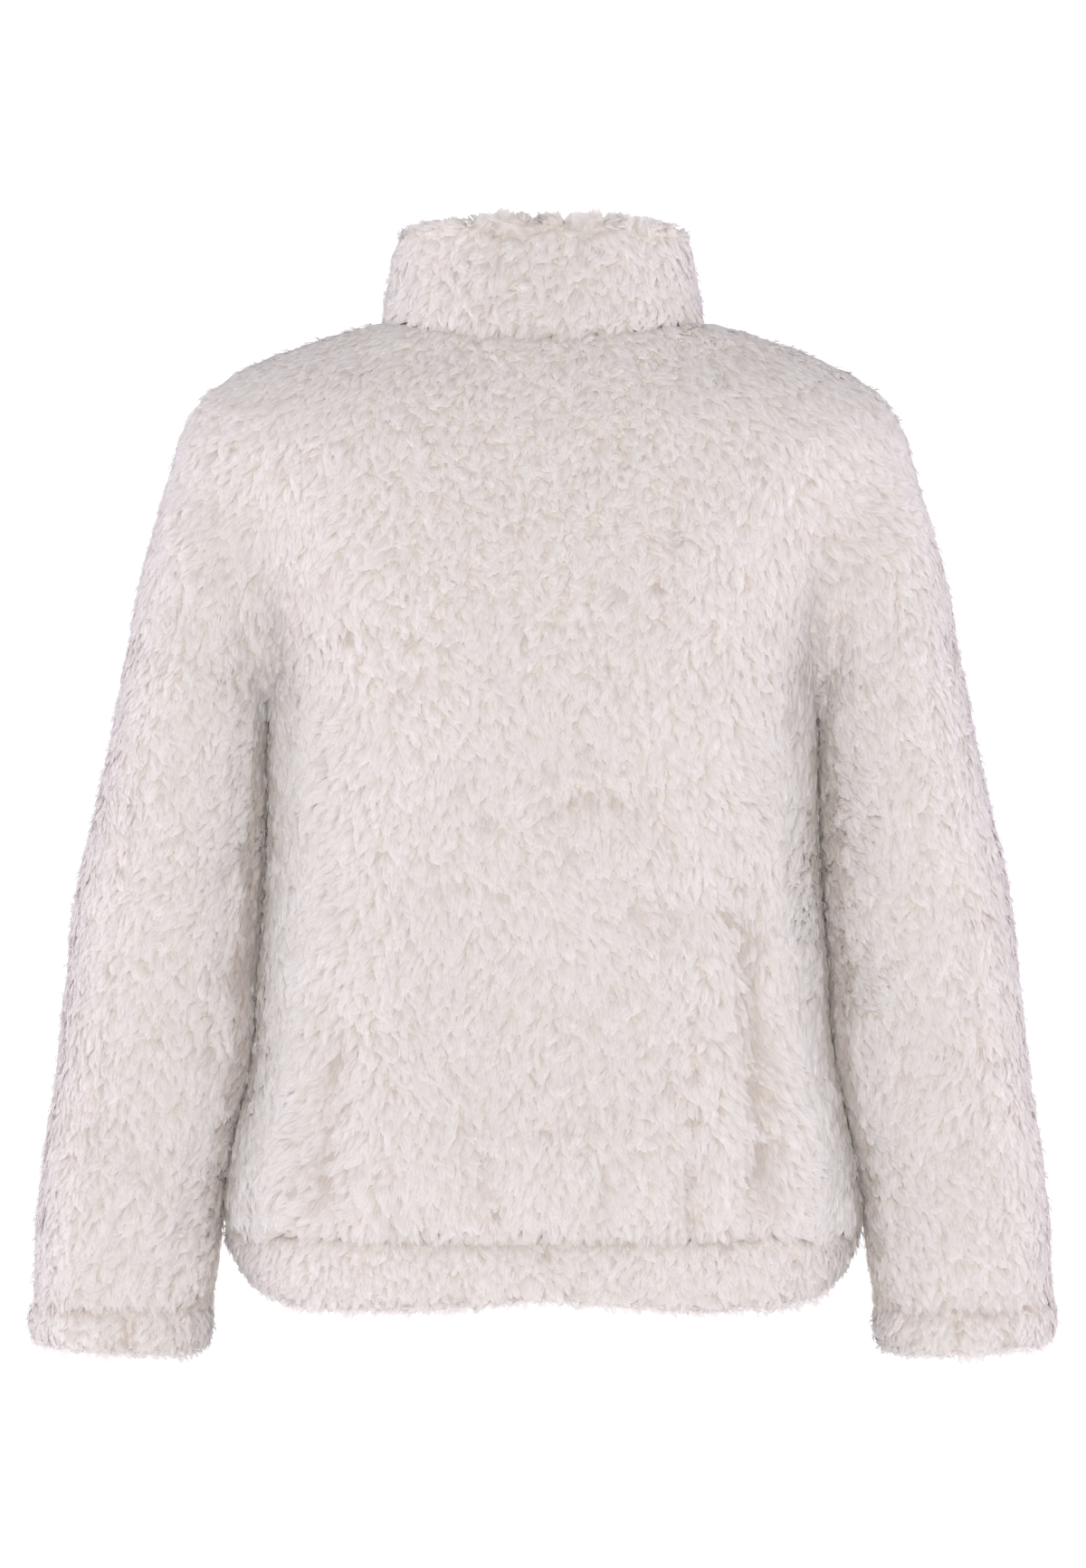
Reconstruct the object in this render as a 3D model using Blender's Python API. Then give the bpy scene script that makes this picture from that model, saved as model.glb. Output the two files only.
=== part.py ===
"""Sherpa fleece pullover with a stand collar, drop shoulders, a hem band and folded cuffs.

The garment is filled out as if worn, with a hollow inside and open neck, cuffs and hem. Each cut
piece is one closed solid: a wall as thick as the knit and its pile together. The origin is the
middle of the neck opening, level with its two side points. +Z is up, +Y is the wearer's front and
+X the wearer's right. All sizes are in metres.
"""

from types import SimpleNamespace

import bmesh
import bpy
import numpy as np

# The cloth
WALL = 0.008                 # one layer of sherpa, knit backing and pile
COLLAR_THICKNESS = 0.0135    # two layers, folded at the top edge
SEAM_GAP = 0.0003            # between two pieces that are sewn together
NECK_GAP = 0.0004            # the same, measured upward at the slanting neck seam
INNER_FOLD_SHARE = 0.6       # how much of a fold's depth the inner face follows
MITRE = 1.1                  # length of a wall's slanting edge, as a share of its thickness

# Heights of the main seams, and how far out the armhole seam's two ends are
UNDERARM = -0.264
ARMHOLE_TOP = -0.200
ARMHOLE_INNER = 0.1812
ARMHOLE_OUTER = 0.2725
HEM_SEAM = -0.5955
CUFF_SEAM = -0.6455

# The neck opening, an oval that dips at the back and more at the front
NECK_HALF_WIDTH = 0.107
NECK_BACK = 0.086
NECK_FRONT = 0.093
NECK_BACK_DIP = 0.0165
NECK_FRONT_DIP = 0.045
NECK_POWER = 2.15
NECK_SLANT = 14              # degrees the collar seam leans inward and down in the middle
NECK_SIDE_SLANT = 18         # degrees more at its two sides
COLLAR_TOP_BACK = 0.0615
COLLAR_TOP_SIDE = 0.0600
COLLAR_TOP_FRONT = 0.0485

# Hem band and cuff heights
BAND_HEIGHT = 0.0392
BAND_SAG = 0.0085            # how much deeper the band grows away from the middle
BAND_SAG_END = 0.7           # the share of its half width where it is deepest
BAND_RISE = 0.0310           # how much it is then pulled up at the side seams
BAND_RISE_POWER = 13
CUFF_HEIGHT = 0.0295
CUFF_SLANT = 0.0030          # how much shorter a cuff is on the outside than in its middle

# Mesh steps
TORSO_STEPS = 15             # from the middle of a panel to its side seam or armhole
ARM_STEPS = 9                # from the armhole's crease over the arm to its outer edge
BODY_ROWS = 14               # hem seam to underarm
YOKE_ROWS = 13               # underarm to neck
SLEEVE_ROWS = 15             # armhole to cuff seam
ROW_CLIMB = 1.3              # above one, the body's rows lie closer together near the hem
LEVEL_FROM = 0.42            # the share of a sleeve's length where its rings become level
FINE = 240                   # samples on a curve before it is divided evenly

BACK, FRONT = -1, 1
FLEECE = (0.84, 0.79, 0.745)
SHARP_DEGREES = 40           # edges that turn more than this are drawn sharp


def table(columns, *rows):
    """A short table as named columns of numbers."""
    values = np.array(rows, float)
    return SimpleNamespace(**{name: values[:, i] for i, name in enumerate(columns.split())})


# The trunk below the underarm: level sections with square-ish ends.
BODY = table(
    "height   half_width  back    front   power",
    (HEM_SEAM, 0.2050, 0.1225, 0.1235, 2.60),
    (-0.5860, 0.2080, 0.1305, 0.1315, 2.60),
    (-0.5660, 0.2055, 0.1340, 0.1355, 2.60),
    (-0.5300, 0.1985, 0.1325, 0.1350, 2.60),
    (-0.4820, 0.1890, 0.1290, 0.1320, 2.60),
    (-0.4160, 0.1850, 0.1260, 0.1295, 2.60),
    (-0.3500, 0.1808, 0.1255, 0.1300, 2.55),
    (-0.3000, 0.1803, 0.1265, 0.1320, 2.50),
    (UNDERARM, ARMHOLE_INNER, 0.1275, 0.1330, 2.50),
)

# The yoke, shoulders and neck above the underarm, from the bottom up. A section runs level from
# the middle, then bends to its own height at the edge, on the outer line of the arm and shoulder.
# half_width is where the trunk alone would end, knee the column over the crease, and arm_inner
# where the arm would begin without the trunk.
YOKE = table(
    "back_height front_height edge_height edge  knee   half_width back   front  power level  bend"
    " arm_inner arm_depth",
    (UNDERARM, UNDERARM, ARMHOLE_TOP, ARMHOLE_OUTER, ARMHOLE_INNER, ARMHOLE_INNER,
     0.1275, 0.1330, 2.50, ARMHOLE_INNER, 1.00, ARMHOLE_INNER, 0.0825),
    (-0.2250, -0.2250, -0.1760, 0.2685, 0.1835, 0.1895, 0.1282, 0.1330, 2.50, 0.1600, 1.05,
     0.1750, 0.0808),
    (-0.1720, -0.1780, -0.1400, 0.2588, 0.1910, 0.2075, 0.1262, 0.1300, 2.50, 0.1200, 1.15,
     0.1660, 0.0755),
    (-0.1200, -0.1350, -0.1010, 0.2470, 0.1975, 0.2285, 0.1212, 0.1250, 2.40, 0.0800, 1.30,
     0.1580, 0.0670),
    (-0.0800, -0.1000, -0.0680, 0.2370, 0.1930, 0.2370, 0.1140, 0.1175, 2.20, 0.0400, 1.50,
     0.1500, 0.0540),
    (-0.0500, -0.0740, -0.0400, 0.2135, 0.1700, 0.2135, 0.1055, 0.1090, 1.85, 0.0100, 1.70,
     0.1300, 0.0340),
    (-0.0300, -0.0560, -0.0165, 0.1640, 0.1270, 0.1640, 0.0965, 0.1010, 1.72, 0.0000, 1.85,
     0.0900, 0.0140),
    (-NECK_BACK_DIP, -NECK_FRONT_DIP, 0.0, NECK_HALF_WIDTH, 0.0830, NECK_HALF_WIDTH,
     NECK_BACK, NECK_FRONT, NECK_POWER, 0.0000, 2.00, 0.0500, 0.0010),
)

# The arm from the armhole to the wrist: the crease side, the outer line, the half depth and how
# far it hangs forward of the side seam.
ARM = table(
    "height   inner   outer   depth   forward",
    (CUFF_SEAM, 0.2190, 0.3380, 0.0625, -0.0120),
    (-0.6260, 0.2158, 0.3362, 0.0655, -0.0120),
    (-0.5900, 0.2115, 0.3355, 0.0660, -0.0110),
    (-0.5540, 0.2060, 0.3305, 0.0670, -0.0095),
    (-0.5300, 0.2008, 0.3280, 0.0675, -0.0080),
    (-0.5060, 0.1955, 0.3240, 0.0680, -0.0065),
    (-0.4820, 0.1915, 0.3215, 0.0685, -0.0055),
    (-0.4160, 0.1873, 0.3145, 0.0720, -0.0025),
    (-0.3800, 0.1852, 0.3110, 0.0745, -0.0010),
    (-0.3400, 0.1830, 0.3015, 0.0780, 0.0000),
    (-0.3000, 0.1822, 0.2925, 0.0810, 0.0000),
    (UNDERARM, ARMHOLE_INNER, 0.2848, 0.0830, 0.0000),
    (-0.2320, 0.1770, 0.2785, 0.0830, 0.0000),
    (ARMHOLE_TOP, 0.1715, ARMHOLE_OUTER, 0.0815, 0.0000),
)
ARM_POWER = 2.2
BLEND_POWER = 8              # how tightly the arm and the trunk meet in the crease

# Folds and gathers of the two panels, as soft troughs between two points. A column gives how far
# the path bows sideways, the trough's half width and depth, and the share of its length over
# which each end fades out. All of them fade out towards the side seams too.
FOLD_SIDE = 0.85             # the share of a row where that fading begins
FOLDS = {
    BACK: table(
        "x0      z0      x1      z1      bow     half_width depth   fade0 fade1",
        (0.1380, -0.5940, 0.1180, -0.3150, 0.004, 0.022, 0.0095, 0.08, 0.45),
        (-0.1380, -0.5940, -0.1330, -0.4100, 0.003, 0.022, 0.0080, 0.12, 0.70),
        (0.0920, -0.5940, 0.0960, -0.5250, 0.000, 0.019, 0.0065, 0.28, 0.72),
        (0.0320, -0.5940, 0.0360, -0.5300, 0.000, 0.019, 0.0060, 0.28, 0.72),
        (-0.0320, -0.5940, -0.0420, -0.5200, 0.002, 0.020, 0.0070, 0.28, 0.72),
        (-0.0820, -0.5940, -0.0860, -0.5380, 0.000, 0.019, 0.0050, 0.28, 0.72),
        (-0.0110, -0.3180, 0.0820, -0.3150, -0.003, 0.018, 0.0030, 0.40, 0.40),
        (0.0420, -0.3840, 0.1500, -0.3860, -0.004, 0.020, 0.0035, 0.40, 0.30),
        (0.1960, -0.2280, 0.2620, -0.1680, 0.000, 0.022, 0.0035, 0.25, 0.25),
        (-0.1960, -0.2280, -0.2620, -0.1680, 0.000, 0.022, 0.0035, 0.25, 0.25),
        (0.1500, -0.1000, 0.1950, -0.1450, 0.004, 0.026, 0.0035, 0.50, 0.40),
        (-0.1500, -0.1000, -0.1950, -0.1450, -0.004, 0.026, 0.0035, 0.50, 0.40),
    ),
    FRONT: table(
        "x0      z0      x1      z1      bow     half_width depth   fade0 fade1",
        (0.1300, -0.5940, 0.1350, -0.4400, -0.003, 0.021, 0.0060, 0.15, 0.65),
        (-0.1350, -0.5940, -0.1220, -0.3700, -0.004, 0.022, 0.0070, 0.10, 0.55),
        (0.0850, -0.5940, 0.0800, -0.5300, 0.000, 0.019, 0.0060, 0.28, 0.72),
        (0.0300, -0.5940, 0.0250, -0.5150, 0.002, 0.020, 0.0070, 0.28, 0.72),
        (-0.0350, -0.5940, -0.0320, -0.5350, 0.000, 0.019, 0.0050, 0.28, 0.72),
        (-0.0850, -0.5940, -0.0940, -0.5200, 0.000, 0.019, 0.0065, 0.28, 0.72),
        (-0.1050, -0.3150, -0.0100, -0.3350, 0.003, 0.020, 0.0035, 0.40, 0.40),
        (0.0300, -0.4250, 0.1250, -0.4050, -0.003, 0.020, 0.0030, 0.40, 0.30),
        (0.1960, -0.2280, 0.2620, -0.1680, 0.000, 0.022, 0.0035, 0.25, 0.25),
        (-0.1960, -0.2280, -0.2620, -0.1680, 0.000, 0.022, 0.0035, 0.25, 0.25),
        (0.1200, -0.1250, 0.1780, -0.1700, 0.004, 0.026, 0.0040, 0.45, 0.40),
        (-0.1200, -0.1250, -0.1780, -0.1700, -0.004, 0.026, 0.0040, 0.45, 0.40),
    ),
}

# Creases of a sleeve, by turn round the arm (0 outside, 90 behind, 180 inside, 270 in front).
CREASE_RADIUS = 0.066        # the arm's radius that turns its degrees into lengths
CREASE_REACH = 0.2           # how far a crease runs on past its two points, as a share of it
CREASE_FADE = 0.4            # the share over which each of its ends fades out
SLEEVE_CREASES = table(
    "turn0 height0 turn1 height1 half_width depth",
    (165, -0.4080, 95, -0.4700, 0.024, 0.0045),
    (195, -0.4120, 265, -0.4650, 0.024, 0.0050),
    (150, -0.3450, 100, -0.3700, 0.022, 0.0030),
    (110, -0.5300, 40, -0.5550, 0.024, 0.0030),
    (300, -0.5500, 240, -0.5750, 0.024, 0.0035),
    (60, -0.2650, 130, -0.3050, 0.022, 0.0025),
    (255, -0.2750, 310, -0.2550, 0.022, 0.0025),
)

# Sections across the folded pieces, from the seam on the outside, round the fold, back to the
# seam on the inside: the share of the piece's height, and the way outward from its seam line.
COLLAR_PROFILE = table(
    "share  out",
    (0.00, 0.0000), (0.14, -0.0008), (0.45, -0.0045), (0.76, -0.0078), (0.93, -0.0105),
    (1.00, -0.0158), (0.94, -0.0212), (0.76, -0.0222), (0.45, -0.0190), (0.14, -0.0152),
)
BAND_PROFILE = table(
    "share  out",
    (0.00, 0.0000), (0.12, 0.0036), (0.45, 0.0048), (0.80, 0.0026), (0.97, -0.0018),
    (0.99, -0.0074), (0.75, -0.0098), (0.35, -0.0092), (0.00, -0.0110),
)
CUFF_PROFILE = table(
    "share  out",
    (0.00, 0.0000), (0.14, 0.0020), (0.50, 0.0026), (0.82, 0.0008), (0.98, -0.0034),
    (0.98, -0.0074), (0.70, -0.0090), (0.30, -0.0084), (0.00, -0.0100),
)


def smooth(at, knots, values):
    """A smooth curve through a table's column, read at one place or many."""
    slopes = np.gradient(values, knots)
    low = np.clip(np.searchsorted(knots, at, side="right") - 1, 0, len(knots) - 2)
    step = knots[low + 1] - knots[low]
    t = np.clip((at - knots[low]) / step, 0.0, 1.0)
    rise = values[low] * (1 + 2 * t) * (1 - t) ** 2 + values[low + 1] * t * t * (3 - 2 * t)
    return rise + step * (slopes[low] * t * (1 - t) ** 2 + slopes[low + 1] * t * t * (t - 1))


def by_height(columns, height):
    """All of a table's columns, read at a height."""
    knots = columns.height
    named = {name: smooth(height, knots, column) for name, column in vars(columns).items()}
    return SimpleNamespace(**named)


def superellipse(share, depth, power):
    """Depth of a rounded section at a share of its half width; nothing past its end."""
    inside = np.clip(1 - np.abs(share) ** power, 0.0, 1.0)
    return depth * inside ** (1 / power)


def unit(vectors):
    return vectors / np.linalg.norm(vectors, axis=-1, keepdims=True)


def evenly(points, steps):
    """A fine curve divided into steps of equal length."""
    lengths = np.linalg.norm(np.diff(points, axis=0), axis=1)
    travelled = np.concatenate(([0.0], np.cumsum(lengths)))
    wanted = np.linspace(0.0, travelled[-1], steps + 1)
    return np.stack([np.interp(wanted, travelled, column) for column in points.T], axis=1)


def arm_point(turn, middle_height, tilt):
    """A point of the arm's surface, by the turn round it, on a ring that may lean outward."""
    across, along = np.cos(turn), np.sin(turn)
    share = np.sign(across) * np.abs(across) ** (2 / ARM_POWER)
    height = middle_height + tilt * share
    arm = by_height(ARM, height)
    x = (arm.inner + arm.outer) / 2 + (arm.outer - arm.inner) / 2 * share
    reach = arm.depth * np.sign(along) * np.abs(along) ** (2 / ARM_POWER)
    return np.stack([x, arm.forward - reach, height], axis=-1)


ARMHOLE_MIDDLE = (UNDERARM + ARMHOLE_TOP) / 2
ARMHOLE_TILT = (ARMHOLE_TOP - UNDERARM) / 2
ARMHOLE_AXIS = unit(np.array([UNDERARM - ARMHOLE_TOP, 0.0, ARMHOLE_OUTER - ARMHOLE_INNER]))


def armhole_ring(side):
    """The armhole seam on one side of the arm, from the underarm to the outer end."""
    turns = np.linspace(np.pi, 0.0, FINE) if side == BACK else np.linspace(-np.pi, 0.0, FINE)
    return evenly(arm_point(turns, ARMHOLE_MIDDLE, ARMHOLE_TILT), ARM_STEPS)


def body_row(height, side):
    """Half of a level section below the underarm, from the panel's middle to the side seam."""
    size = by_height(BODY, height)
    turn = np.linspace(0.0, np.pi / 2, FINE)
    x = size.half_width * np.sin(turn)
    y = superellipse(x / size.half_width, size.back if side == BACK else size.front, size.power)
    return evenly(np.stack([x, side * y, np.full(FINE, height)], axis=1), TORSO_STEPS)


def yoke_row(station, side):
    """Half of a section above the underarm, from the panel's middle to the outer line."""
    knots = np.arange(len(YOKE.edge), dtype=float)
    size = SimpleNamespace(**{n: smooth(station, knots, c) for n, c in vars(YOKE).items()})
    middle = size.back_height if side == BACK else size.front_height
    depth = size.back if side == BACK else size.front

    half_width = min(size.half_width, size.edge)
    arm_middle, arm_half = (size.edge + size.arm_inner) / 2, (size.edge - size.arm_inner) / 2

    def surface(x):
        bent = np.clip((x - size.level) / (size.edge - size.level), 0.0, 1.0) ** size.bend
        height = middle + (size.edge_height - middle) * bent
        trunk = superellipse(x / half_width, depth, size.power)
        arm = superellipse((x - arm_middle) / arm_half, size.arm_depth, ARM_POWER)
        y = (trunk ** BLEND_POWER + arm ** BLEND_POWER) ** (1 / BLEND_POWER)
        return np.stack([x, side * y, height], axis=1)

    turn = np.sin(np.linspace(0.0, np.pi / 2, FINE))
    trunk_part = evenly(surface(size.knee * turn), TORSO_STEPS)
    if station == 0:
        return np.concatenate([trunk_part, armhole_ring(side)[1:]])
    arm_part = evenly(surface(size.knee + (size.edge - size.knee) * turn), ARM_STEPS)
    return np.concatenate([trunk_part, arm_part[1:]])


def fold_depth(x, z, side):
    """How deep the folds of a panel are at a point."""
    total = np.zeros_like(x)
    folds = FOLDS[side]
    for i in range(len(folds.x0)):
        start = np.array([folds.x0[i], folds.z0[i]])
        way = np.array([folds.x1[i], folds.z1[i]]) - start
        length = np.linalg.norm(way)
        way = way / length
        along = ((x - start[0]) * way[0] + (z - start[1]) * way[1]) / length
        aside = (x - start[0]) * way[1] - (z - start[1]) * way[0]
        aside = aside - folds.bow[i] * 4 * along * (1 - along)
        across = np.cos(np.clip(aside / folds.half_width[i], -1, 1) * np.pi) / 2 + 0.5
        total += folds.depth[i] * across * ends(along, folds.fade0[i], folds.fade1[i])
    return total


def ends(along, fade0, fade1):
    """One along a path, and fading to nothing over a share of it at each end."""
    rising = np.clip(along / fade0, 0, 1)
    falling = np.clip((1 - along) / fade1, 0, 1)
    share = np.minimum(rising, falling)
    return share * share * (3 - 2 * share)


def crease_depth(turn, height):
    """How deep the creases of a sleeve are at a point."""
    total = np.zeros_like(height)
    creases = SLEEVE_CREASES
    for i in range(len(creases.turn0)):
        start = np.array([np.radians(creases.turn0[i]) * CREASE_RADIUS, creases.height0[i]])
        stop = np.array([np.radians(creases.turn1[i]) * CREASE_RADIUS, creases.height1[i]])
        length = np.linalg.norm(stop - start)
        way = (stop - start) / length
        round_arm = (turn * CREASE_RADIUS - start[0], height - start[1])
        along = (round_arm[0] * way[0] + round_arm[1] * way[1]) / length
        aside = round_arm[0] * way[1] - round_arm[1] * way[0]
        across = np.cos(np.clip(aside / creases.half_width[i], -1, 1) * np.pi) / 2 + 0.5
        total += creases.depth[i] * across * ends(along + CREASE_REACH, CREASE_FADE, CREASE_FADE)
    return total


def vertex_normals(points, faces):
    """Outward directions at the corners of a mesh of four-sided faces."""
    normals = np.zeros_like(points)
    a, b, c, d = (points[faces[:, i]] for i in range(4))
    face_normals = np.cross(c - a, d - b)
    for i in range(4):
        np.add.at(normals, faces[:, i], face_normals)
    return unit(normals)


def within(direction, *plane_normals):
    """A direction laid into the planes of the seams that it belongs to."""
    for plane_normal in plane_normals:
        direction = direction - plane_normal * (direction @ plane_normal)
    return unit(direction)


def neck_mitre(point):
    """Direction from the collar seam's outer edge to its inner edge, halfway between two walls."""
    depth = NECK_BACK if point[1] < 0 else NECK_FRONT
    inward = -unit(np.array([point[0] / NECK_HALF_WIDTH ** 2, point[1] / depth ** 2, 0.0]))
    steepness = np.radians(NECK_SLANT + NECK_SIDE_SLANT * (point[0] / NECK_HALF_WIDTH) ** 2)
    return inward * np.cos(steepness) - np.array([0.0, 0.0, np.sin(steepness)])


def make_object(name, points, faces):
    """A named closed piece of the given corners and faces, with its own fleece material."""
    mesh = bpy.data.meshes.new(name)
    mesh.from_pydata(np.asarray(points).tolist(), [], np.asarray(faces).tolist())
    shape = bmesh.new()
    shape.from_mesh(mesh)
    bmesh.ops.recalc_face_normals(shape, faces=shape.faces)
    shape.to_mesh(mesh)
    shape.free()
    mesh.shade_smooth()
    mesh.set_sharp_from_angle(angle=np.radians(SHARP_DEGREES))
    material = bpy.data.materials.new(name + "_fleece")
    material.use_nodes = True
    shader = material.node_tree.nodes["Principled BSDF"]
    shader.inputs["Base Color"].default_value = (*FLEECE, 1.0)
    shader.inputs["Roughness"].default_value = 0.95
    shader.inputs["Metallic"].default_value = 0.0
    mesh.materials.append(material)
    bpy.context.scene.collection.objects.link(bpy.data.objects.new(name, mesh))


def split(points, faces):
    """Four-sided faces cut into triangles along the shorter diagonal."""
    a, b, c, d = (faces[:, i] for i in range(4))
    first = np.linalg.norm(points[a] - points[c], axis=1)
    second = np.linalg.norm(points[b] - points[d], axis=1)
    along_first = (first <= second)[:, None]
    one = np.where(along_first, np.stack([a, b, c], axis=1), np.stack([a, b, d], axis=1))
    other = np.where(along_first, np.stack([a, c, d], axis=1), np.stack([b, c, d], axis=1))
    return np.concatenate([one, other])


def make_wall(name, outer, inner, faces):
    """A wall between two faces of cloth with the same corners, closed along its edges."""
    count = len(outer)
    edges = {(face[i], face[(i + 1) % 4]) for face in faces.tolist() for i in range(4)}
    rims = sorted(edge for edge in edges if edge[::-1] not in edges)
    rim_faces = [(stop, start, start + count, stop + count) for start, stop in rims]
    points = np.concatenate([outer, inner])
    cloth = split(outer, faces)
    rim = split(points, np.array(rim_faces))
    make_object(name, points, np.concatenate([cloth, cloth[:, ::-1] + count, rim]))


def make_folded(name, rings):
    """A folded piece, closed round a stack of rings that runs over its outside and its inside."""
    count, steps = len(rings[0]), len(rings)
    column, level = np.meshgrid(np.arange(count), np.arange(steps))
    after, above = (column + 1) % count, (level + 1) % steps
    faces = np.stack([level * count + column, level * count + after,
                      above * count + after, above * count + column], axis=-1).reshape(-1, 4)
    points = np.concatenate(rings)
    make_object(name, points, split(points, faces))


def outward_of(ring):
    """Level directions out of a closed ring of points."""
    along = np.roll(ring, -1, axis=0) - np.roll(ring, 1, axis=0)
    outward = unit(np.stack([along[:, 1], -along[:, 0], np.zeros(len(ring))], axis=1))
    return outward * np.sign(((ring - ring.mean(axis=0)) * outward).sum())


def section_rings(ring, outward, heights, profile):
    """The rings of a folded piece: each point of its section carried round the seam line."""
    up = np.array([0.0, 0.0, 1.0])
    return [ring + outward * out + (heights * share)[:, None] * up
            for share, out in zip(profile.share, profile.out)]


def make_panel(name, side):
    """The back or the front, from the hem seam to the neck. Returns its neck edge."""
    climb = (np.arange(BODY_ROWS) / BODY_ROWS) ** ROW_CLIMB
    rows = [body_row(HEM_SEAM + (UNDERARM - HEM_SEAM) * share, side) for share in climb]
    rows[0][:, 2] += SEAM_GAP / 2
    stations = np.linspace(0.0, len(YOKE.edge) - 1.0, YOKE_ROWS + 1)
    rows += [yoke_row(station, side) for station in stations]

    points, index = [], []
    for row in rows:
        mirrored = row[:0:-1] * (-1, 1, 1)
        index.append(len(points) + len(row) - 1)
        points.extend([*mirrored, *row])
    points = np.array(points)
    points[:, 1] = side * np.maximum(side * points[:, 1], SEAM_GAP / 2)
    full, short = TORSO_STEPS + ARM_STEPS, TORSO_STEPS

    faces = []
    for below in range(len(rows) - 1):
        reach = full if below >= BODY_ROWS else short
        for column in range(-reach, reach):
            low, high = index[below] + column, index[below + 1] + column
            faces.append((low, low + 1, high + 1, high)[::-side])
    faces = np.array(faces)

    normals = vertex_normals(points, faces)
    inward = -normals * WALL
    axis_y, axis_z = np.array([0.0, 1.0, 0.0]), np.array([0.0, 0.0, 1.0])
    shift = np.zeros_like(points)
    for number, row in enumerate(rows):
        steps = len(row) - 1
        for column in range(-steps, steps + 1):
            here = index[number] + column
            hand = 1.0 if column >= 0 else -1.0
            seams = [axis_y] if abs(column) == steps else []
            if number == 0:
                seams.append(axis_z)
            if number == BODY_ROWS and abs(column) > short:
                armhole = ARMHOLE_AXIS * (hand, 1, 1)
                seams.append(armhole)
                shift[here] = armhole * SEAM_GAP / 2
            if seams:
                inward[here] = -within(normals[here], *seams) * WALL
            if number == BODY_ROWS and abs(column) == short:
                inward[here] = axis_z * WALL * MITRE
            if number == len(rows) - 1:
                inward[here] = within(neck_mitre(points[here]), *seams) * WALL * MITRE
                shift[here] = -axis_z * NECK_GAP / 2

    depth = fold_depth(points[:, 0], points[:, 2], side)
    near_side = np.concatenate([np.abs(np.arange(1 - len(r), len(r))) / (len(r) - 1) for r in rows])
    depth *= 1 - np.clip(near_side - FOLD_SIDE, 0, 1) / (1 - FOLD_SIDE)
    ring = slice(index[BODY_ROWS] - full, index[BODY_ROWS] - short)
    depth[ring] = 0
    depth[index[BODY_ROWS] + short:index[BODY_ROWS] + full + 1] = 0
    folded = -normals * depth[:, None]
    outer = points + shift + folded
    inner = points + shift + folded * INNER_FOLD_SHARE + inward
    make_wall(name, outer, inner, faces)
    return points[index[-1] - full:index[-1] + full + 1]


def make_sleeve(name, hand):
    """A sleeve from the armhole seam to the cuff seam. Returns its ring at the cuff seam."""
    climb = np.linspace(0.0, 1.0, SLEEVE_ROWS + 1)
    heights = ARMHOLE_MIDDLE + (CUFF_SEAM - ARMHOLE_MIDDLE) * climb
    tilts = ARMHOLE_TILT * np.clip(1 - climb / LEVEL_FROM, 0.0, 1.0)
    points, turns = [], []
    for height, tilt in zip(heights, tilts):
        fine = np.linspace(0.0, np.pi, FINE)
        behind = evenly(arm_point(fine, height, tilt), ARM_STEPS)
        front = evenly(arm_point(-fine, height, tilt), ARM_STEPS)
        points.append(np.concatenate([behind, front[-2:0:-1]]))
        turns.append(np.linspace(0.0, 2 * np.pi, 2 * ARM_STEPS, endpoint=False))
    count = 2 * ARM_STEPS
    points, turns = np.concatenate(points), np.concatenate(turns)

    faces = []
    for row in range(SLEEVE_ROWS):
        for column in range(count):
            after = (column + 1) % count
            top, low = row * count, (row + 1) * count
            faces.append((top + column, low + column, low + after, top + after)[::-hand])
    points *= (hand, 1, 1)
    faces = np.array(faces)

    normals = vertex_normals(points, faces)
    inward = -normals * WALL
    armhole, axis_z = ARMHOLE_AXIS * (hand, 1, 1), np.array([0.0, 0.0, 1.0])
    shift = np.zeros_like(points)
    last = SLEEVE_ROWS * count
    for column in range(count):
        inward[column] = -within(normals[column], armhole) * WALL
        shift[column] = -armhole * SEAM_GAP / 2
        inward[last + column] = -within(normals[last + column], axis_z) * WALL
        shift[last + column] = axis_z * SEAM_GAP / 2
    depth = crease_depth(turns, points[:, 2])
    depth[:count] = 0
    depth[last:] = 0
    folded = -normals * depth[:, None]
    outer = points + shift + folded
    inner = points + shift + folded * INNER_FOLD_SHARE + inward
    make_wall(name, outer, inner, faces)
    return points[last:]


def make_collar(back_edge, front_edge):
    """The stand collar on the neck seam, folded at its top."""
    ring = np.concatenate([back_edge[::2], front_edge[-3:1:-2]])
    ring[np.abs(ring[:, 1]) < SEAM_GAP, 1] = 0.0
    depth = np.where(ring[:, 1] < 0, NECK_BACK, NECK_FRONT)
    level = np.zeros(len(ring))
    across, lengthwise = ring[:, 0] / NECK_HALF_WIDTH ** 2, ring[:, 1] / depth ** 2
    outward = unit(np.stack([across, lengthwise, level], axis=1))
    end = np.where(ring[:, 1] < 0, COLLAR_TOP_BACK, COLLAR_TOP_FRONT)
    top = COLLAR_TOP_SIDE + (end - COLLAR_TOP_SIDE) * (ring[:, 1] / depth) ** 2
    ring = ring + (0.0, 0.0, NECK_GAP / 2)
    inner_seam = ring + np.array([neck_mitre(point) for point in ring]) * COLLAR_THICKNESS * MITRE
    rings = section_rings(ring, outward, top - ring[:, 2], COLLAR_PROFILE)
    make_folded("collar", [*rings, inner_seam])


def make_hem_band():
    """The hem band under the hem seam, folded at its bottom and drawn up at the sides."""
    back, front = body_row(HEM_SEAM, BACK), body_row(HEM_SEAM, FRONT)
    mirror = np.array([-1, 1, 1])
    ring = np.concatenate([back[:0:-1] * mirror, back, front[-2::-1], front[1:-1] * mirror])
    side_share = np.abs(ring[:, 0]) / ring[:, 0].max()
    sag = BAND_SAG * np.sin(np.minimum(side_share / BAND_SAG_END, 1) * np.pi / 2)
    heights = BAND_HEIGHT + sag - BAND_RISE * side_share ** BAND_RISE_POWER
    ring = ring - (0.0, 0.0, SEAM_GAP / 2)
    make_folded("hem_band", section_rings(ring, outward_of(ring), -heights, BAND_PROFILE))


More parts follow.
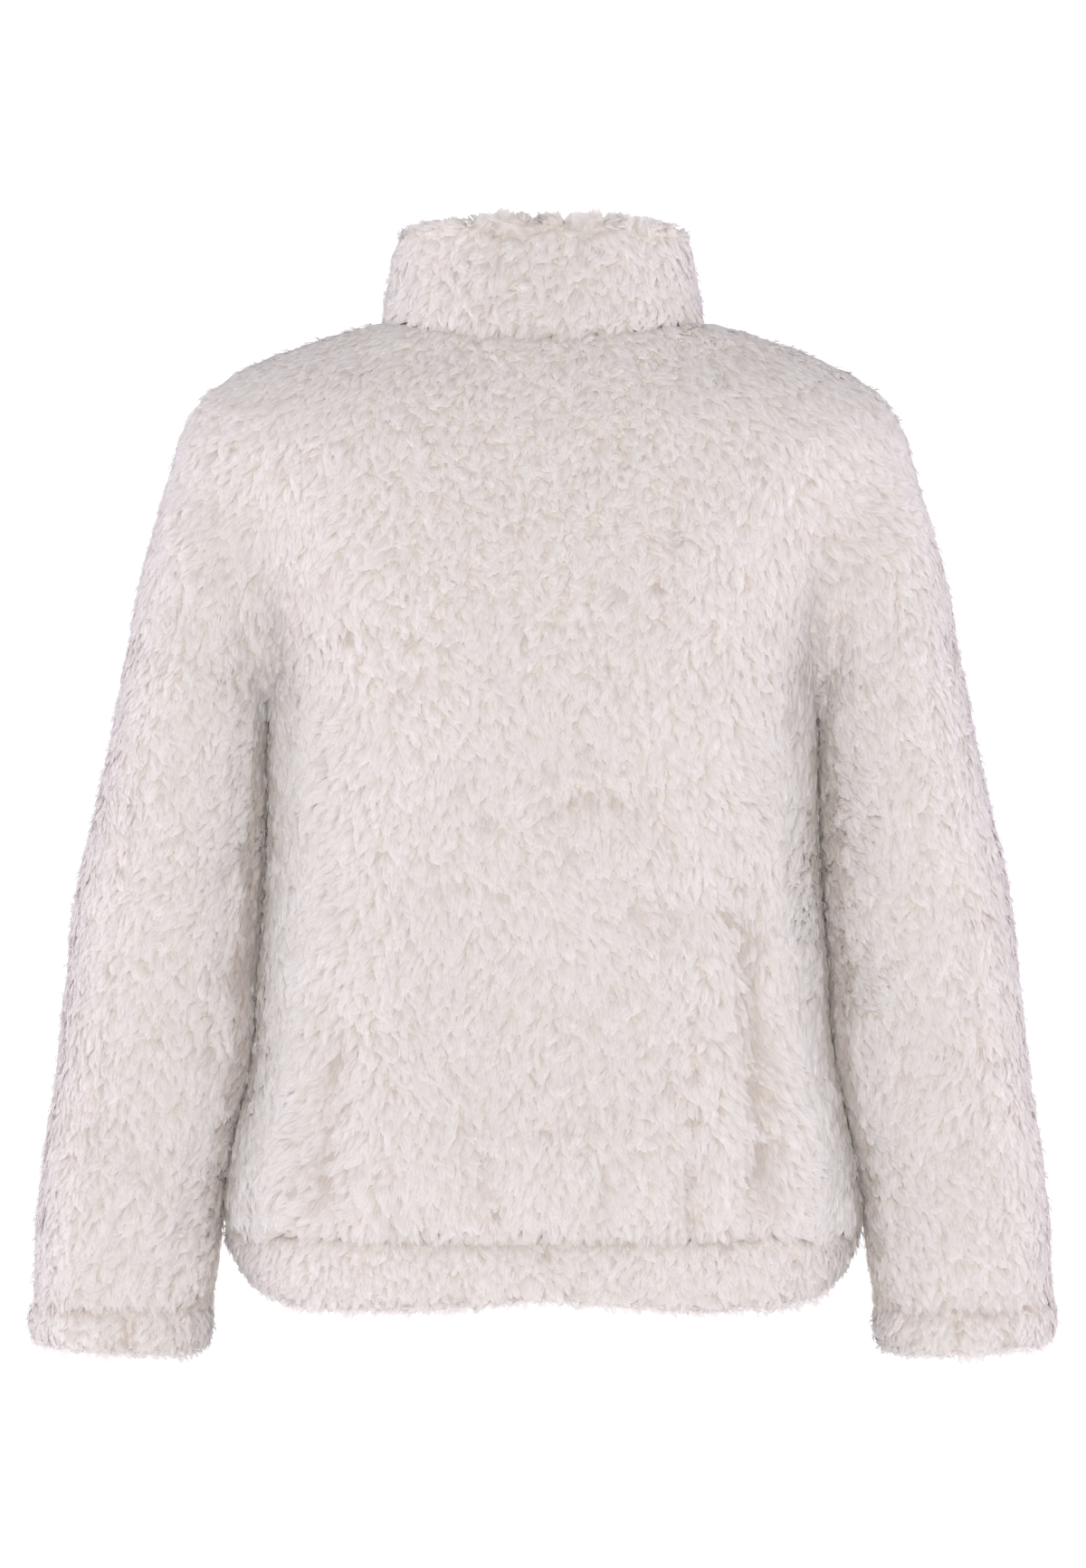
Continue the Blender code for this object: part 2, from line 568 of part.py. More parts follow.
def make_cuff(name, hand, ring):
    """A cuff under the cuff seam, folded at the wrist and a little shorter on the outside."""
    ring = ring - (0.0, 0.0, SEAM_GAP / 2)
    outside = (ring[:, 0] - ring[:, 0].mean()) * hand
    heights = CUFF_HEIGHT - CUFF_SLANT * outside / outside.max()
    make_folded(name, section_rings(ring, outward_of(ring), -heights, CUFF_PROFILE))


for thing in list(bpy.data.objects):
    bpy.data.objects.remove(thing, do_unlink=True)

back_neck = make_panel("back", BACK)
front_neck = make_panel("front", FRONT)
make_collar(back_neck, front_neck)
make_hem_band()
for label, hand in (("left", -1), ("right", 1)):
    wrist = make_sleeve("sleeve_" + label, hand)
    make_cuff("cuff_" + label, hand, wrist)
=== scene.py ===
"""Cloth, pile, light and camera of the sherpa fleece pullover, in the frame of its CAD model."""

from collections import namedtuple
from types import SimpleNamespace

import bpy
import numpy as np
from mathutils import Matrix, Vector, kdtree, noise
from mathutils.bvhtree import BVHTree


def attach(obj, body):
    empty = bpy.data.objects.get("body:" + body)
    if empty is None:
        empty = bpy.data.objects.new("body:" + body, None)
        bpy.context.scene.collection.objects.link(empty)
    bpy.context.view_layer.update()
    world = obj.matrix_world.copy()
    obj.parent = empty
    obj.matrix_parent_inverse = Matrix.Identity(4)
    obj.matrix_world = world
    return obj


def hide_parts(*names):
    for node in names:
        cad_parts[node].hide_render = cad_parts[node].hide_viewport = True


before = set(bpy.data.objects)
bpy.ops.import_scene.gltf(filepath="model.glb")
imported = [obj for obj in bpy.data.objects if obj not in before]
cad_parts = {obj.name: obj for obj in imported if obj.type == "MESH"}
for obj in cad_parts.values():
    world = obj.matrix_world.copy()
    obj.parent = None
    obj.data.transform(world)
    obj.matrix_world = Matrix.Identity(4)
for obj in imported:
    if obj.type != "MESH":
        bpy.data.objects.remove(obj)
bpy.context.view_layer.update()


# The back: one panel, cut in one with the drop shoulder and the back of the upper arm, and sewn to
# the front at the shoulders and sides. It is sherpa, a flat knit with a long pile on its outside
# that is combed down and curled into tufts. The knit is a closed sheet, and the pile is grown on it.

def unit(vectors):
    """Vectors made one long."""
    return vectors / np.maximum(np.linalg.norm(vectors, axis=-1, keepdims=True), 1e-12)


def dot(a, b):
    return (a * b).sum(axis=-1, keepdims=True)


def soft_step(value, start, stop):
    """Nothing up to the start, one from the stop on, and a soft step between them."""
    share = np.clip((value - start) / (stop - start), 0.0, 1.0)
    return share * share * (3 - 2 * share)


WELD = 1e-5                  # corners closer than this are one corner


def welded(node):
    """A node's corners, each one once, and its triangles."""
    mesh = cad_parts[node].data
    mesh.calc_loop_triangles()
    corners = np.empty(len(mesh.vertices) * 3, np.float32)
    mesh.vertices.foreach_get("co", corners)
    corners = corners.reshape(-1, 3).astype(float)
    triangles = np.empty(len(mesh.loop_triangles) * 3, np.int32)
    mesh.loop_triangles.foreach_get("vertices", triangles)
    grid = np.round(corners / WELD).astype(np.int64)
    _, first, same = np.unique(grid, axis=0, return_index=True, return_inverse=True)
    return corners[first], same.reshape(-1)[triangles].reshape(-1, 3)


def tree_of(points, triangles):
    return BVHTree.FromPolygons(points.tolist(), triangles.tolist())


SHAPES = {node: welded(node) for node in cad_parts}
TREES = {node: tree_of(*shape) for node, shape in SHAPES.items()}

SEWN = 0.0013                # a face this close to another piece is at a seam


def seams_of(node):
    """For each neighbour that a node is sewn to, which of its triangles are the seam."""
    points, triangles = SHAPES[node]
    centres = points[triangles].mean(axis=1).tolist()
    others = [other for other in TREES if other != node]
    gaps = np.array([[TREES[o].find_nearest(centre)[3] for centre in centres] for o in others])
    nearest, gap = gaps.argmin(axis=0), gaps.min(axis=0)
    seams = {other: (gap < SEWN) & (nearest == i) for i, other in enumerate(others)}
    return {other: faces for other, faces in seams.items() if faces.any()}


def cloth_of(node, seams):
    """The triangles of a node that aren't at a seam."""
    return SHAPES[node][1][~np.any(list(seams.values()), axis=0)]


def crosses_of(points, triangles):
    """The way out of each triangle, twice as long as the triangle is large."""
    a, b, c = (points[triangles[:, i]] for i in range(3))
    return np.cross(b - a, c - a)


def area_of(points, triangles):
    return np.linalg.norm(crosses_of(points, triangles), axis=1) / 2


def normals_of(points, triangles):
    """The way out of the cloth at each corner."""
    crosses = crosses_of(points, triangles)
    normals = np.zeros_like(points)
    for i in range(3):
        np.add.at(normals, triangles[:, i], crosses)
    return unit(normals)


SHARP = 0.3                  # cosine of the turn that parts the two faces of a wall


def outside_of(node, seams):
    """The outside of a node's wall: the largest stretch of it with no sharp turn in it."""
    points, cloth = SHAPES[node][0], cloth_of(node, seams)
    edges = np.sort(np.concatenate([cloth[:, [0, 1]], cloth[:, [1, 2]], cloth[:, [2, 0]]]), axis=1)
    owner = np.tile(np.arange(len(cloth)), 3)
    order = np.lexsort((edges[:, 1], edges[:, 0]))
    edges, owner = edges[order], owner[order]
    paired = np.flatnonzero((edges[1:] == edges[:-1]).all(axis=1))
    first, second = owner[paired], owner[paired + 1]
    faces = unit(crosses_of(points, cloth))
    soft = dot(faces[first], faces[second])[:, 0] > SHARP
    first, second = first[soft], second[soft]
    label, before = np.arange(len(cloth)), None
    while before is None or (label != before).any():
        before = label.copy()
        least = np.minimum(label[first], label[second])
        np.minimum.at(label, first, least)
        np.minimum.at(label, second, least)
    skins = [cloth[label == one] for one in np.unique(label)]
    return max(skins, key=lambda skin: area_of(points, skin).sum())


class Wire:
    """An output in the nodes of a material or the world. A product with it becomes a Math node."""

    def __init__(self, tree, socket=None):
        self.tree, self.socket = tree, socket

    def node(self, kind, settings=None, inputs=None, output=0):
        """A new node's output, from its settings and then its sockets' values or wires."""
        made = self.tree.nodes.new(kind)
        for name, value in (settings or {}).items():
            if name == "stops":
                ramp = made.color_ramp.elements
                while len(ramp) < len(value):
                    ramp.new(1.0)
                for element, (position, colour) in zip(ramp, value):
                    element.position, element.color = position, (*colour, 1.0)
            else:
                setattr(made, name, value)
        for name, value in (inputs or {}).items():
            if isinstance(value, Wire):
                self.tree.links.new(value.socket, made.inputs[name])
            else:
                made.inputs[name].default_value = value
        return Wire(self.tree, made.outputs[output])

    def __mul__(self, other):
        return self.node("ShaderNodeMath", {"operation": "MULTIPLY"}, {0: self, 1: other})

    __rmul__ = __mul__

    def mix(self, factor, first, second, blend="MIX"):
        """Two colours mixed."""
        settings = {"data_type": "RGBA", "blend_type": blend}
        return self.node("ShaderNodeMix", settings, {0: factor, 6: first, 7: second}, output=2)

    def to(self, socket):
        self.tree.links.new(self.socket, socket)


WHITE = (1.0, 1.0, 1.0)
COOL_SHEEN = (0.96, 0.95, 1.0, 1.0)


def new_material(name, roughness, sheen):
    """A material with its even values set, its shader's sockets, and a wire to write with."""
    material = bpy.data.materials.new(name)
    material.use_nodes = True
    shader = material.node_tree.nodes["Principled BSDF"]
    shader.inputs["Roughness"].default_value = roughness
    shader.inputs["Specular IOR Level"].default_value = 0.2
    shader.inputs["Sheen Weight"].default_value = sheen
    shader.inputs["Sheen Roughness"].default_value = 0.6
    shader.inputs["Sheen Tint"].default_value = COOL_SHEEN
    return material, shader.inputs, Wire(material.node_tree, shader.outputs[0])


def cover(material, surface):
    """Puts a mixed shader on the outside of a material."""
    surface.to(material.node_tree.nodes["Material Output"].inputs["Surface"])


# The colours along a lock from its root to its tip, tan at the root as painted shade deep in the
# pile; then the tints of a lock under painted shade in a cleft, fold or seam line, of a lock of
# duller tone, and of the grooves between fibres, which are painted shade
TAN_ROOT, CREAM_LOW = (0.78, 0.695, 0.625), (0.90, 0.85, 0.81)
CREAM, PALE_TIP = (0.95, 0.928, 0.925), (0.955, 0.945, 0.962)
SHADED_LOCK, DULL_LOCK = (0.74, 0.69, 0.64), (0.95, 0.94, 0.93)
FIBRE_GROOVE = (0.875, 0.845, 0.815)
FIBRES = (2.5, 75.0, 1.0)    # fibre patches along a lock, and fibres over all the shades
THROUGH = 0.58               # how much of the light that meets a lock can go on through it
THROUGH_COLOUR = (0.935, 0.912, 0.91, 1.0)


def make_pile_material():
    """The pile: tan at its root as painted shade, pale cream at its tip, and warmer and duller where
    its tone is duller and where shade is painted in.
    """
    material, sockets, wire = new_material("sherpa_pile", roughness=0.9, sheen=0.45)
    strand = wire.node("ShaderNodeUVMap", {"uv_map": "OFBake"})
    along = wire.node("ShaderNodeSeparateXYZ", {}, {"Vector": strand}, output="X")
    shade = wire.node("ShaderNodeSeparateXYZ", {}, {"Vector": strand}, output="Y")
    fine = wire.node("ShaderNodeVectorMath", {"operation": "MULTIPLY"}, {0: strand, 1: FIBRES})
    fibres = wire.node("ShaderNodeTexNoise", {"noise_dimensions": "2D"},
                       {"Vector": fine, "Scale": 1.0, "Detail": 2.0})
    # tan at the root: painted shade deep in the pile
    depth = wire.node("ShaderNodeValToRGB", {"stops": [
        (0.0, TAN_ROOT), (0.30, CREAM_LOW), (0.65, CREAM), (1.0, PALE_TIP)]}, {"Fac": along})
    # duller tints for random tone and for painted shade in clefts, folds and seam lines
    tint = wire.node("ShaderNodeValToRGB", {"stops": [
        (0.0, SHADED_LOCK), (0.4, DULL_LOCK), (1.0, WHITE)]}, {"Fac": shade})
    # fibre streaks, darker in the grooves of the fibre bump as painted shade
    streak = wire.node("ShaderNodeValToRGB", {"stops": [(0.34, FIBRE_GROOVE), (0.56, WHITE)]},
                       {"Fac": fibres})
    coloured = wire.mix(1.0, depth, tint, "MULTIPLY")
    wire.mix(1.0, coloured, streak, "MULTIPLY").to(sockets["Base Color"])
    wire.node("ShaderNodeBump", {}, {"Strength": 0.35, "Distance": 0.0008, "Height": fibres}).to(
        sockets["Normal"])
    through = wire.node("ShaderNodeBsdfTranslucent", {}, {"Color": THROUGH_COLOUR})
    cover(material, wire.node("ShaderNodeMixShader", {}, {0: THROUGH, 1: wire, 2: through}))
    return material


CURLS = 240.0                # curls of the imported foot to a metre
# Painted shade: the foot of the pile is dark as the shade under the locks, and darker between its
# curls
FOOT_PAINTED_SHADE, SHADE_BETWEEN_CURLS = (0.57, 0.525, 0.495), (0.52, 0.475, 0.445)
SIDE_FOOT_PAINTED_LIGHT = (0.75, 0.71, 0.68, 1.0)     # painted light: lighter where the cloth faces the sides of the garment


def make_bed_material():
    """The foot of the pile, packed on the knit where little light comes: painted dark as that shade,
    darker still between its curls, and painted lighter where the cloth faces the sides.
    """
    material, sockets, wire = new_material("sherpa_bed", roughness=0.95, sheen=0.0)
    place = wire.node("ShaderNodeTexCoord", output="Object")
    curls = wire.node("ShaderNodeTexVoronoi", {"feature": "SMOOTH_F1"},
                      {"Vector": place, "Scale": CURLS, "Smoothness": 0.6}, output="Distance")
    # painted shade, darker between the curls
    foot = wire.node("ShaderNodeValToRGB", {"stops": [(0.0, FOOT_PAINTED_SHADE), (0.7, SHADE_BETWEEN_CURLS)]},
                     {"Fac": curls})
    # painted light: the foot is lighter the more the cloth faces sideways
    way_out = wire.node("ShaderNodeNewGeometry", output="Normal")
    sideways = wire.node("ShaderNodeSeparateXYZ", {}, {"Vector": way_out}, output="X")
    wire.mix(sideways * sideways, foot, SIDE_FOOT_PAINTED_LIGHT).to(sockets["Base Color"])
    wire.node("ShaderNodeBump", {"invert": True},
              {"Strength": 0.6, "Distance": 0.002, "Height": curls}).to(sockets["Normal"])
    return material


KNIT_LOOPS = 620.0           # loops of the knit to a metre across it
LOOPS_CLOSER = (1.0, 1.0, 1.8)          # how much closer they stand, up the cloth
KNIT_DULL, KNIT_PALE = (0.84, 0.80, 0.76), (0.90, 0.87, 0.84)
# painted shade between the loops of the knit
SHADE_BETWEEN_LOOPS = (0.86, 0.84, 0.81)


def make_knit_material():
    """The flat back of the knit, which is what the inside of the garment shows."""
    material, sockets, wire = new_material("sherpa_knit", roughness=0.88, sheen=0.15)
    place = wire.node("ShaderNodeTexCoord", output="Object")
    stretched = wire.node("ShaderNodeVectorMath", {"operation": "MULTIPLY"},
                          {0: place, 1: LOOPS_CLOSER})
    loops = wire.node("ShaderNodeTexVoronoi", {"feature": "F1"},
                      {"Vector": stretched, "Scale": KNIT_LOOPS, "Randomness": 0.45},
                      output="Distance")
    patches = wire.node("ShaderNodeTexNoise", {}, {"Vector": place, "Scale": 28.0, "Detail": 3.0})
    shade = wire.node("ShaderNodeValToRGB", {"stops": [(0.3, KNIT_DULL), (0.7, KNIT_PALE)]},
                      {"Fac": patches})
    # painted shade in the valleys between the loops
    valleys = wire.node("ShaderNodeValToRGB", {"stops": [(0.2, WHITE), (0.9, SHADE_BETWEEN_LOOPS)]},
                        {"Fac": loops})
    wire.mix(1.0, shade, valleys, "MULTIPLY").to(sockets["Base Color"])
    wire.node("ShaderNodeBump", {"invert": True},
              {"Strength": 0.5, "Distance": 0.0008, "Height": loops}).to(sockets["Normal"])
    return material


KNIT_FACE = make_knit_material()
BED_FACE = make_bed_material()
PILE = make_pile_material()


def finish_piece(name, mesh):
    """A piece of the garment, which moves with the body."""
    piece = bpy.data.objects.new(name, mesh)
    bpy.context.scene.collection.objects.link(piece)
    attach(piece, "root")
    return piece


# How a piece's pile is combed at a place: the way it lies, how unsettled it is in radians, how
# much longer and taller than plain pile, and how far it leans to the open air
Comb = namedtuple("Comb", "way wild longer taller open_side")


def open_way(places):
    """The way from the middle of the garment to the open air at its back or its front."""
    return np.sign(places[:, 1:2]) * np.array([0.0, 1.0, 0.0])


LOOSE = 0.0032               # depth of the loose pile over its packed foot
FOLDED_KNIT = 0.0016         # knit and packed foot together, in a folded strip


def make_cloth(node, outside, folded, comb):
    """The cloth of a piece, a closed sheet: the knit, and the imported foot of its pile.

    A single wall is the CAD wall with its outside sunk by the loose pile's depth. A folded strip
    is a thin sheet that runs round inside both of its faces.
    """
    points, triangles = SHAPES[node]
    normals = normals_of(points, outside)
    is_outer = np.zeros(len(points), bool)
    is_outer[outside] = True
    sunk = points - normals * LOOSE * is_outer[:, None]
    if folded:
        used, local = np.unique(outside, return_inverse=True)
        faces = local.reshape(-1, 3)
        count = len(used)
        corners = np.concatenate([sunk[used], sunk[used] - normals[used] * FOLDED_KNIT])
        edges = {(face[i], face[(i + 1) % 3]) for face in faces.tolist() for i in range(3)}
        rims = sorted(edge for edge in edges if edge[::-1] not in edges)
        rim_faces = [(stop, start, start + count, stop + count) for start, stop in rims]
        polygons = [*faces.tolist(), *(faces[:, ::-1] + count).tolist(), *rim_faces]
        is_bed = np.arange(len(polygons)) < len(faces)
    else:
        corners, polygons = sunk, triangles.tolist()
        outer_faces = {tuple(face) for face in outside.tolist()}
        is_bed = np.array([tuple(face) in outer_faces for face in polygons])
    mesh = bpy.data.meshes.new(node + "_cloth")
    mesh.from_pydata(corners.tolist(), [], polygons)
    mesh.materials.append(KNIT_FACE)
    mesh.materials.append(BED_FACE)
    mesh.polygons.foreach_set("material_index", is_bed.astype(np.int32))
    mesh.shade_smooth()
    cloth = finish_piece(node + "_cloth", mesh)
    if not folded:
        lean = open_way(points) * comb(points, normals).open_side[:, None]
        whole = normals_of(points, triangles)
        lit = np.where(is_outer[:, None], unit(whole + lean), whole)
        mesh.normals_split_custom_set_from_vertices(lit)
    return cloth


def scatter(points, triangles, normals, count, random):
    """Places spread over a skin, each with the way out of the cloth there."""
    edges = np.cumsum(area_of(points, triangles))
    wanted = (np.arange(count) + random.random(count)) / count * edges[-1]
    pick = triangles[np.minimum(np.searchsorted(edges, wanted), len(triangles) - 1)]
    u, v = random.random((2, count))
    over = u + v > 1
    u, v = np.where(over, 1 - u, u), np.where(over, 1 - v, v)
    weights = np.stack([1 - u - v, u, v], axis=1)[:, :, None]
    place = (points[pick] * weights).sum(axis=1)
    return place, unit((normals[pick] * weights).sum(axis=1))


def near_tree(places):
    tree = kdtree.KDTree(len(places))
    for i, place in enumerate(places.tolist()):
        tree.insert(place, i)
    tree.balance()
    return tree


def spaced(places, spacing):
    """Which places to keep so that no two are closer than the spacing."""
    tree = near_tree(places)
    keep = np.ones(len(places), bool)
    for i, place in enumerate(places.tolist()):
        if keep[i]:
            for _, other, _ in tree.find_range(place, spacing):
                if other > i:
                    keep[other] = False
    return np.flatnonzero(keep)


SEED_SHIFT = np.array([7.31, 3.17, 5.03])
NOISE_GAIN = 1.6             # brings the noise up to about -1 to 1


def drift(places, wavelength, seed):
    """Soft noise from about -1 to 1 over the garment."""
    shifted = places / wavelength + seed * SEED_SHIFT
    return np.array([noise.noise(place) for place in shifted.tolist()]) * NOISE_GAIN


def turned(way, normal, angle):
    """A way along the cloth turned round the way out of it."""
    angle = angle[:, None]
    return way * np.cos(angle) + np.cross(normal, way) * np.sin(angle)


def laid(way, normal):
    """A way laid flat on the cloth."""
    return unit(way - normal * dot(way, normal))


# How strongly each kind of seam pulls the pile down, or up where it is less than nothing
SEAM_HOLD = {"back": 0.0, "front": 0.0, "sleeve": 0.1, "collar": 0.1, "hem": -0.3, "cuff": -0.15}
SEAM_WIDTH = 0.008           # how far from a seam line the pile feels it
SEAM_DIP = 0.014             # how far from a seam line the cloth dips
SEAM_LINE = 0.006            # how far from a seam line shade is painted on the pile
STRAIGHTENED = 0.85          # how much of the dip the pile lies straight across


def seam_share(places, node, seams):
    """How freely the pile stands by its seams, how far it ignores the dip of the cloth there to
    lie straight across them, and how near it is to the line of a strip that is sewn on."""
    points, triangles = SHAPES[node]
    stands, straight, sewn = np.ones(len(places)), np.zeros(len(places)), np.zeros(len(places))
    kind = node.split("_")[0]
    for other, at_seam in seams.items():
        tree = tree_of(points, triangles[at_seam])
        far = np.array([tree.find_nearest(place)[3] for place in places.tolist()])
        other_kind = other.split("_")[0]
        stands = stands * (1 - SEAM_HOLD[other_kind] * (1 - soft_step(far, 0, SEAM_WIDTH)))
        if kind == "collar" or {kind, other_kind} & {"hem", "cuff"}:
            straight = np.maximum(straight, STRAIGHTENED * (1 - soft_step(far, 0, SEAM_DIP)))
            sewn = np.maximum(sewn, 1 - soft_step(far, 0, SEAM_LINE))
    return stands, straight, sewn


FOLD_FULL, FOLD_FADES = 0.15, 0.55      # shares of a fold's length where it is full, then fades


def fold_share(places, folds, side):
    """How freely the pile stands near the folds on one side of a piece: less down in a fold.

    A fold is x and height of both ends, how far its path bows sideways, its half width, and how
    strongly it presses the pile down.
    """
    share = np.ones(len(places))
    for x0, z0, x1, z1, bow, reach, hold in folds:
        start, way = np.array([x0, z0]), np.array([x1 - x0, z1 - z0])
        length = np.linalg.norm(way)
        apart = places[:, [0, 2]] - start
        along = (apart @ way) / length ** 2
        aside = (apart[:, 0] * way[1] - apart[:, 1] * way[0]) / length
        aside = aside - bow * 4 * along * (1 - along)
        ends = soft_step(along, 0, FOLD_FULL) * soft_step(along, 1, FOLD_FADES)
        near = np.exp(-(aside / reach) ** 2) * ends * (side * places[:, 1] > 0)
        share = np.minimum(share, 1 - hold * near)
    return share


# How unevenly the tufts stand: the comb sways and the pile rises in lumps, each over a length, and
# single tufts have lengths, heights, curls and shades of their own. Shades run from 0, dark, to 1.
TUFT = SimpleNamespace(tries=4, sway=0.45, sway_over=0.085, lumps_over=0.030, lump_length=0.10,
                       lump_height=0.16, lengths=(0.85, 1.15), heights=(0.85, 1.12), curl=0.45,
                       shade=0.62, shade_drift=0.07, shade_over=0.05, shade_spread=0.14)
CLEFT_SHADE = 0.6            # how much painted shade darkens the pile deep between the body and a sleeve
CLEFT_LEAN = (1.0, 1.5)      # how far it leans to the open air where that starts and is full
CLEFT_DEPTH = (0.055, 0.035)            # how near to the middle of the garment's depth it is there

# The curve of a lock, in shares of how far it reaches ahead, how long it is and how high it
# stands: where its tip is, and the two handles that bend it up out of the cloth and over
TIP_AHEAD, TIP_ASIDE, LEAST_AHEAD = 0.92, 0.22, 0.35
RISE_UP, RISE_AHEAD = 0.75, 0.15
FALL_ON, FALL_UP, FALL_ASIDE = 0.66, 0.42, 0.10


def ahead_of(length, height):
    """How far along the cloth a lock reaches, from its length and its height."""
    return np.sqrt(np.maximum(length ** 2 - height ** 2, (LEAST_AHEAD * length) ** 2))


def plant_tufts(node, skin, seed, spacing, length, height, comb):
    """Where the tufts of a pile stand, which way they lie, and how long and high they are."""
    random = np.random.default_rng(seed)
    points, _ = SHAPES[node]
    normals = normals_of(points, skin)
    total = area_of(points, skin).sum()
    place, out = scatter(points, skin, normals, int(total / spacing ** 2 * TUFT.tries), random)
    kept = spaced(place, spacing)
    place, out = place[kept], out[kept]
    count = len(place)
    combed = comb(place, out)
    sway = TUFT.sway * drift(place, TUFT.sway_over, seed)
    way = turned(laid(combed.way, out), out, sway + combed.wild * random.normal(0.0, 1.0, count))
    lump = drift(place, TUFT.lumps_over, seed + 1)
    long = length * combed.longer * (1 + TUFT.lump_length * lump)
    long = long * random.uniform(*TUFT.lengths, count)
    high = height * combed.taller * (1 + TUFT.lump_height * lump)
    high = high * random.uniform(*TUFT.heights, count)
    curl = random.normal(0.0, TUFT.curl, count)
    shade = TUFT.shade + TUFT.shade_drift * drift(place, TUFT.shade_over, seed + 2)
    shade = shade + random.normal(0.0, TUFT.shade_spread, count)
    # painted shade deep in the cleft between the body and a sleeve
    in_cleft = soft_step(np.abs(place[:, 1]), *CLEFT_DEPTH)
    shade = shade - CLEFT_SHADE * in_cleft * soft_step(combed.open_side, *CLEFT_LEAN)
    tip = (place - out * LOOSE + way * ahead_of(long, high)[:, None] * TIP_AHEAD
           + np.cross(out, way) * (curl * long * TIP_ASIDE)[:, None] + out * high[:, None])
    return SimpleNamespace(node=node, skin=skin, normals=normals, tree=near_tree(place), way=way,
                           long=long, high=high, curl=curl, shade=shade, tip=tip,
                           open_side=combed.open_side, area=total)


# The two kinds of hair: how many stand on a square metre, how many places are tried for each, how
# far apart they stand, the steps along one and its share of the full width at each, the full
# width, how far its tip is drawn to its tuft's, how far it rolls in radians, how much higher and
# longer than its tuft it is, how round it looks, and how far light falls on it by its own face
LOCK = SimpleNamespace(per_area=98000, tries=2.3, apart=0.0019, steps=(0.0, 0.38, 0.72, 1.0),
                       widths=(0.80, 1.0, 0.84, 0.0), width=0.0047, gather=0.25, roll=0.22,
                       lift=0.0, reach=1.0, round=0.30, faced=0.5)
WISP = SimpleNamespace(per_area=26000, tries=1.0, apart=0.0, steps=(0.0, 0.60, 1.0),
                       widths=(0.8, 1.0, 0.0), width=0.0013, gather=0.45, roll=0.5,
                       lift=0.0020, reach=1.10, round=0.10, faced=0.3)


def sow(tufts, kind, random):
    """Where the locks or wisps stand, each with the way out of the cloth there."""
    points, _ = SHAPES[tufts.node]
    count = int(tufts.area * kind.per_area)
    root, normal = scatter(points, tufts.skin, tufts.normals, int(count * kind.tries), random)
    if kind.apart:
        order = random.permutation(len(root))
        kept = order[spaced(root[order], kind.apart)][:count]
        root, normal = root[kept], normal[kept]
    return root, normal


ROOTED = 0.0004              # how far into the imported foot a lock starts
BEND = 0.25                  # how far a lock's curl strays from its tuft's
LENGTHS, HEIGHTS = (0.75, 1.12), (0.70, 1.05)      # shares of its tuft's length and height
LIFTS = (0.3, 1.7)           # shares of its kind's lift
LEAST_LENGTH = 0.75          # share of its length that a lock keeps where it is pressed flat
PULL_LEVELLED = 0.6          # share of its rise that the pull to the tuft's tip loses


def bend_locks(tufts, kind, own, root, normal, lie, side, held, random):
    """The path of each lock, from its root in the cloth to its tip, in rows by its steps."""
    count = len(root)
    long = tufts.long[own][:, None] * random.uniform(*LENGTHS, (count, 1)) * kind.reach
    long = long * (LEAST_LENGTH + (1 - LEAST_LENGTH) * held)
    lift = kind.lift * random.uniform(*LIFTS, (count, 1))
    high = (tufts.high[own][:, None] * random.uniform(*HEIGHTS, (count, 1)) + lift) * held
    ahead = ahead_of(long, high)
    bend = tufts.curl[own][:, None] + random.normal(0.0, BEND, (count, 1))
    root = root - normal * (LOOSE + ROOTED)
    tip = root + lie * ahead * TIP_AHEAD + side * bend * long * TIP_ASIDE + normal * high
    pull = (tufts.tip[own] - tip) * kind.gather
    tip = tip + pull - normal * dot(pull, normal) * PULL_LEVELLED
    rise = root + normal * high * RISE_UP + lie * ahead * RISE_AHEAD
    fall = root + (tip - root) * FALL_ON + normal * high * FALL_UP - side * bend * long * FALL_ASIDE
    at = np.array(kind.steps)[:, None, None]
    return (root * (1 - at) ** 3 + rise * 3 * at * (1 - at) ** 2
            + fall * 3 * at ** 2 * (1 - at) + tip * at ** 3)


LEAN_AGREES = (-0.1, 0.4)    # cosines to the open air where a face starts to be lit from there


def face_locks(tufts, kind, own, normal, side, path, random):
    """The way across each lock at each row, and the way that it is lit as if it faced.

    A lock faces out of the cloth, and where the cloth faces another piece, to the open air.
    """
    heading = unit(np.gradient(path, axis=0))
    roll = random.uniform(-kind.roll, kind.roll, (len(own), 1))
    to_air, open_side = open_way(path[0]), tufts.open_side[own][:, None]
    lean = to_air * open_side
    facing = unit(normal + lean) * np.cos(roll) + side * np.sin(roll)
    across = unit(np.cross(heading, facing))
    face = np.cross(across, heading)
    lean = lean * soft_step(dot(face, to_air * np.sign(open_side)), *LEAN_AGREES)
    return across, unit((1 - kind.faced) * normal + kind.faced * face + lean)


STRAY = 0.22                 # how far a lock strays from the way of its tuft
WIDTHS = (0.75, 1.25)        # shares of its kind's width
SEAM_SHADE = 0.45            # how much painted shade darkens the pile in the line of a seam
FOLD_SHADE = 0.9             # how much painted shade darkens it where a fold presses it flat


